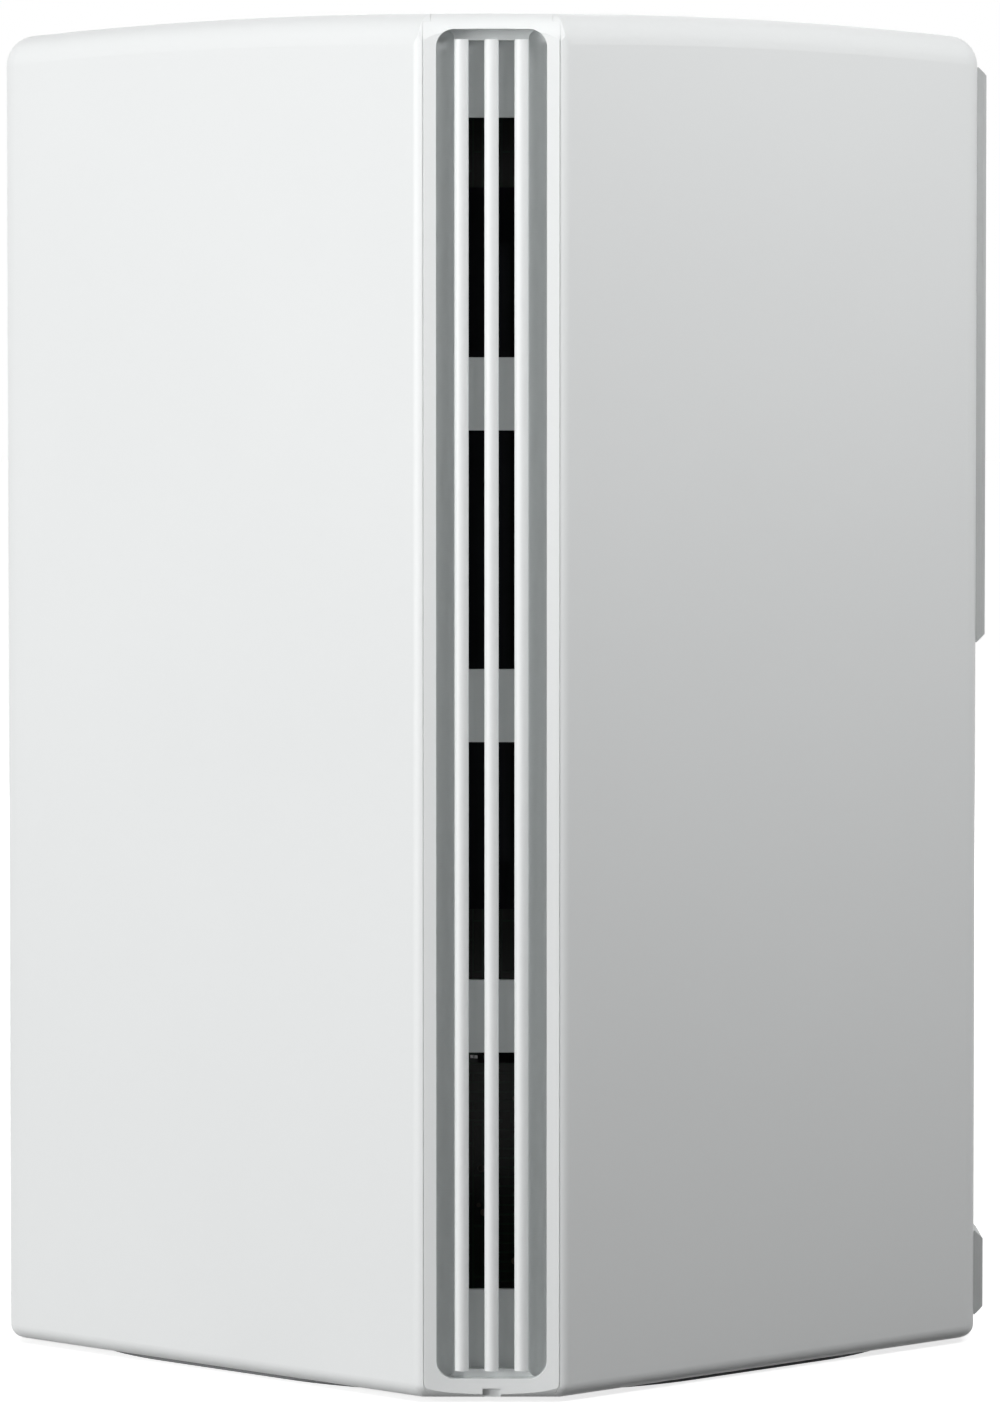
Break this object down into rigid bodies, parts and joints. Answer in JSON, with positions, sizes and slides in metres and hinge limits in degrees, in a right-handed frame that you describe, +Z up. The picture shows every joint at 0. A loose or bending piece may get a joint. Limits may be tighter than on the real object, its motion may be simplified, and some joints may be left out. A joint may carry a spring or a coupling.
{
  "type": "wireless router",
  "caption": "Free-standing tower wireless router with slotted corner vents, stacked network sockets, a power inlet and a rubber foot ring.",
  "frame": {"origin": "middle of the footprint, on the surface that the foot stands on", "axes": "+Z up; -Y towards the front corner vent; +X towards the corner with the sockets; -X towards the corner with the lights"},
  "size_m": [0.1315, 0.1302, 0.1779],
  "materials": {
    "casing_white": "satin",
    "panel_grey": "satin",
    "foot_rubber": "matte",
    "screw_steel": "zinc plated",
    "chassis_plastic": "moulded",
    "circuit_board": "solder mask",
    "chip_black": "moulded",
    "tinned_steel": "tinned",
    "heatsink_aluminium": "extruded",
    "thermal_pad": "matte",
    "socket_plastic": "moulded",
    "gold_contact": "gold plated",
    "inlet_metal": "plated",
    "button_white": "satin",
    "switch_body": "moulded",
    "switch_plunger": "moulded",
    "light_guide": "clear",
    "led_package": "moulded",
    "capacitor_can": "drawn can",
    "ferrite": "moulded",
    "antenna_board": "solder mask",
    "foam": "foam",
    "lead_jacket": "extruded",
    "coax_brass": "plated"
  },
  "bodies": {
    "router": {"antenna_foam": "foam", "antenna_front_left": "antenna_board", "antenna_front_right": "antenna_board", "antenna_lead_front_left": "lead_jacket", "antenna_lead_front_right": "lead_jacket", "antenna_lead_rear_left": "lead_jacket", "antenna_lead_rear_right": "lead_jacket", "antenna_rear_left": "antenna_board", "antenna_rear_right": "antenna_board", "base_cover": "casing_white", "base_screws": "screw_steel", "board_screws": "screw_steel", "chassis": "chassis_plastic", "chassis_screws": "screw_steel", "coax_connectors": "coax_brass", "flash_chip": "chip_black", "foot_ring": "foot_rubber", "front_radio_shield": "tinned_steel", "front_vent": "casing_white", "heatsink": "heatsink_aluminium", "heatsink_screws": "screw_steel", "inlet_pin": "inlet_metal", "light_pipe": "light_guide", "main_board": "circuit_board", "memory_chips": "chip_black", "mesh_switch": "switch_body", "network_magnetics": "chip_black", "network_socket_1": "socket_plastic", "network_socket_2": "socket_plastic", "network_socket_3": "socket_plastic", "network_socket_4": "socket_plastic", "outer_shell": "casing_white", "port_panel": "panel_grey", "power_capacitors": "capacitor_can", "power_inductors": "ferrite", "power_inlet": "socket_plastic", "processor": "chip_black", "rear_radio_shield_lower": "tinned_steel", "rear_radio_shield_upper": "tinned_steel", "rear_vent": "casing_white", "reset_switch": "switch_body", "socket_contacts": "gold_contact", "spreader_pads": "thermal_pad", "spreader_plate": "heatsink_aluminium", "spreader_screws": "screw_steel", "status_leds": "led_package", "switch_chip": "chip_black", "thermal_pads": "thermal_pad"},
    "mesh_button": {"mesh_button": "button_white", "mesh_plunger": "switch_plunger"},
    "reset_button": {"reset_plunger": "switch_plunger"}
  },
  "joints": [
    {"name": "mesh_button_press", "type": "slide", "parent": "router", "child": "mesh_button", "axis": [-1, 0, 0], "range_m": [0, 0.0005], "stiffness_N_per_m": 1200, "springref_m": -0.001},
    {"name": "reset_press", "type": "slide", "parent": "router", "child": "reset_button", "axis": [-1, 0, 0], "range_m": [0, 0.0003], "stiffness_N_per_m": 1200, "springref_m": -0.001}
  ]
}
